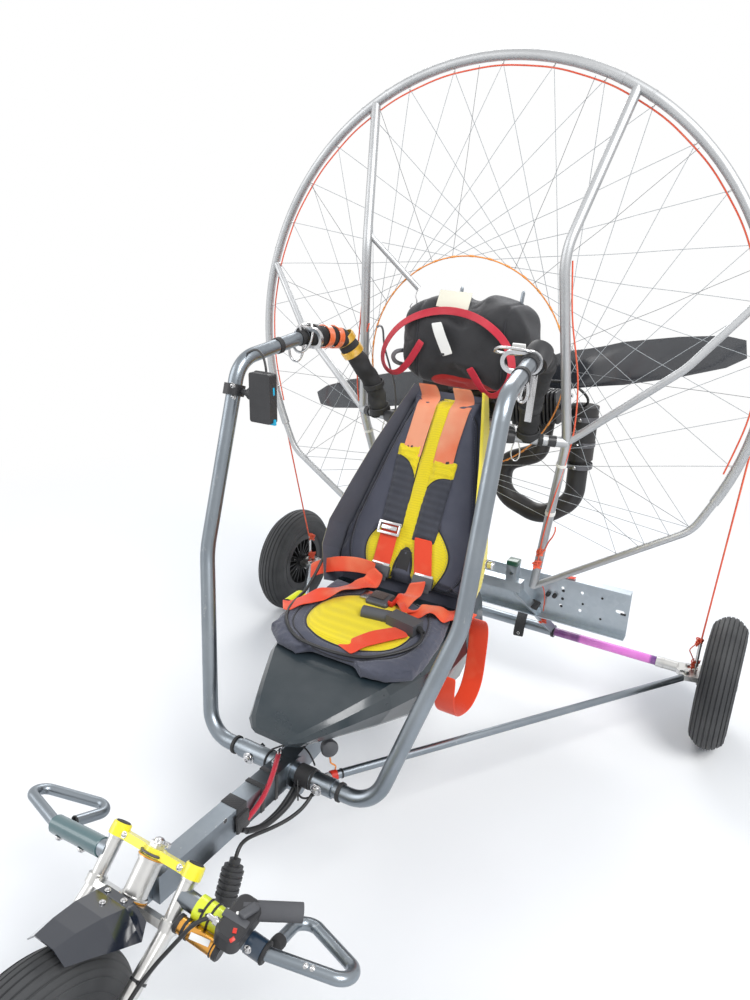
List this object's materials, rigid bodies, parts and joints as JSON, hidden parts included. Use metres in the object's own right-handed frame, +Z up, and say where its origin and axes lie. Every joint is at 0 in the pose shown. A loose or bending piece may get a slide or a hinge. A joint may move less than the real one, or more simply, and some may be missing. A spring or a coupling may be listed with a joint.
{
  "type": "paratrike",
  "caption": "Three-wheeled powered paraglider trike with bucket seat, harness, hoops, caged pusher propeller, open engine and foot steering.",
  "frame": {"origin": "on the ground under the middle of the outer box of the parked trike", "axes": "+Z up, the pilot faces -Y, +X to the pilot's left"},
  "size_m": [1.648, 2.1358, 1.8534],
  "materials": {
    "frame_tube": "satin anodised grey tube",
    "cage_tube": "satin bare tube",
    "silver": "machined and satin",
    "yellow_metal": "gloss yellow",
    "lime_metal": "gloss yellow green",
    "gold_metal": "gold anodised",
    "pink_rod": "gloss pink fibre rod",
    "tyre": "ribbed rubber",
    "rim": "black moulded",
    "seat_black": "glossy moulded black",
    "seat_yellow": "glossy moulded yellow",
    "cushion": "woven grey blue with yellow mesh panels",
    "webbing": "woven orange red webbing",
    "pad": "padded dark grey",
    "buckle": "moulded dark grey",
    "bag": "woven black",
    "engine": "black finned casting",
    "exhaust": "heat resistant black",
    "foam": "black foam with gold bands",
    "prop": "black composite",
    "mudguard": "gloss dark moulded",
    "grip": "grey foam grip",
    "cord_red": "braided red cord",
    "control": "black control housing"
  },
  "bodies": {
    "frame": {"keel_beam": "frame_tube", "head_tube": "silver", "front_cross_tube": "frame_tube", "hoop_left": "frame_tube", "hoop_right": "frame_tube", "hang_arms": "foam", "cage_arc": "cage_tube", "cage_spoke_left": "cage_tube", "cage_spoke_right": "cage_tube", "cage_legs": "cage_tube", "cage_sides": "cage_tube", "cage_stubs": "cage_tube", "rear_frame": "silver", "axle_sleeve": "frame_tube", "axle_rods": "pink_rod", "hub_brackets": "silver", "rear_channel": "silver", "radius_rods": "frame_tube", "side_stays": "cord_red", "seat_base": "seat_black", "seat_shell": "seat_yellow", "back_cushion": "cushion", "seat_cushion": "cushion", "shoulder_straps": "webbing", "shoulder_pads": "pad", "lap_belt": "webbing", "lap_buckle": "buckle", "gear_bag": "bag", "engine_case": "engine", "engine_cylinder": "engine", "airbox": "control", "exhaust": "exhaust", "propeller_drive": "silver", "engine_mount": "cage_tube", "hang_shackles": "silver", "device_holder": "control", "cage_strut": "frame_tube", "hand_throttle": "control", "seat_lead": "control", "beam_lead": "control", "hanging_plug": "control"},
    "front_wheel": {"front_tyre": "tyre", "front_rim": "rim"},
    "rear_wheel_left": {"rear_left_tyre": "tyre", "rear_left_rim": "rim"},
    "rear_wheel_right": {"rear_right_tyre": "tyre", "rear_right_rim": "rim"},
    "propeller": {"propeller_hub": "silver", "propeller_blades": "prop"},
    "steering": {"fork": "silver", "fork_clamp": "yellow_metal", "mudguard": "mudguard", "foot_bar_left": "frame_tube", "foot_bar_right": "frame_tube", "throttle_housing": "control", "throttle_grip": "grip", "reservoir": "gold_metal", "bar_bracket": "lime_metal", "brake_lead": "control"}
  },
  "joints": [
    {"name": "steering_turn", "type": "hinge", "parent": "frame", "child": "steering", "pos_m": [0, -0.617, 0.371], "axis": [0, -0.7071, -0.7071], "range_deg": [-25, 25]},
    {"name": "front_wheel_spin", "type": "hinge", "parent": "steering", "child": "front_wheel", "pos_m": [0, -0.868, 0.2], "axis": [1, 0, 0], "continuous": true},
    {"name": "rear_left_spin", "type": "hinge", "parent": "frame", "child": "rear_wheel_left", "pos_m": [0.772, 0.868, 0.2], "axis": [1, 0, 0], "continuous": true},
    {"name": "rear_right_spin", "type": "hinge", "parent": "frame", "child": "rear_wheel_right", "pos_m": [-0.772, 0.868, 0.2], "axis": [1, 0, 0], "continuous": true},
    {"name": "propeller_spin", "type": "hinge", "parent": "frame", "child": "propeller", "pos_m": [0, 0.88, 1.01], "axis": [0, 1, 0], "continuous": true}
  ]
}
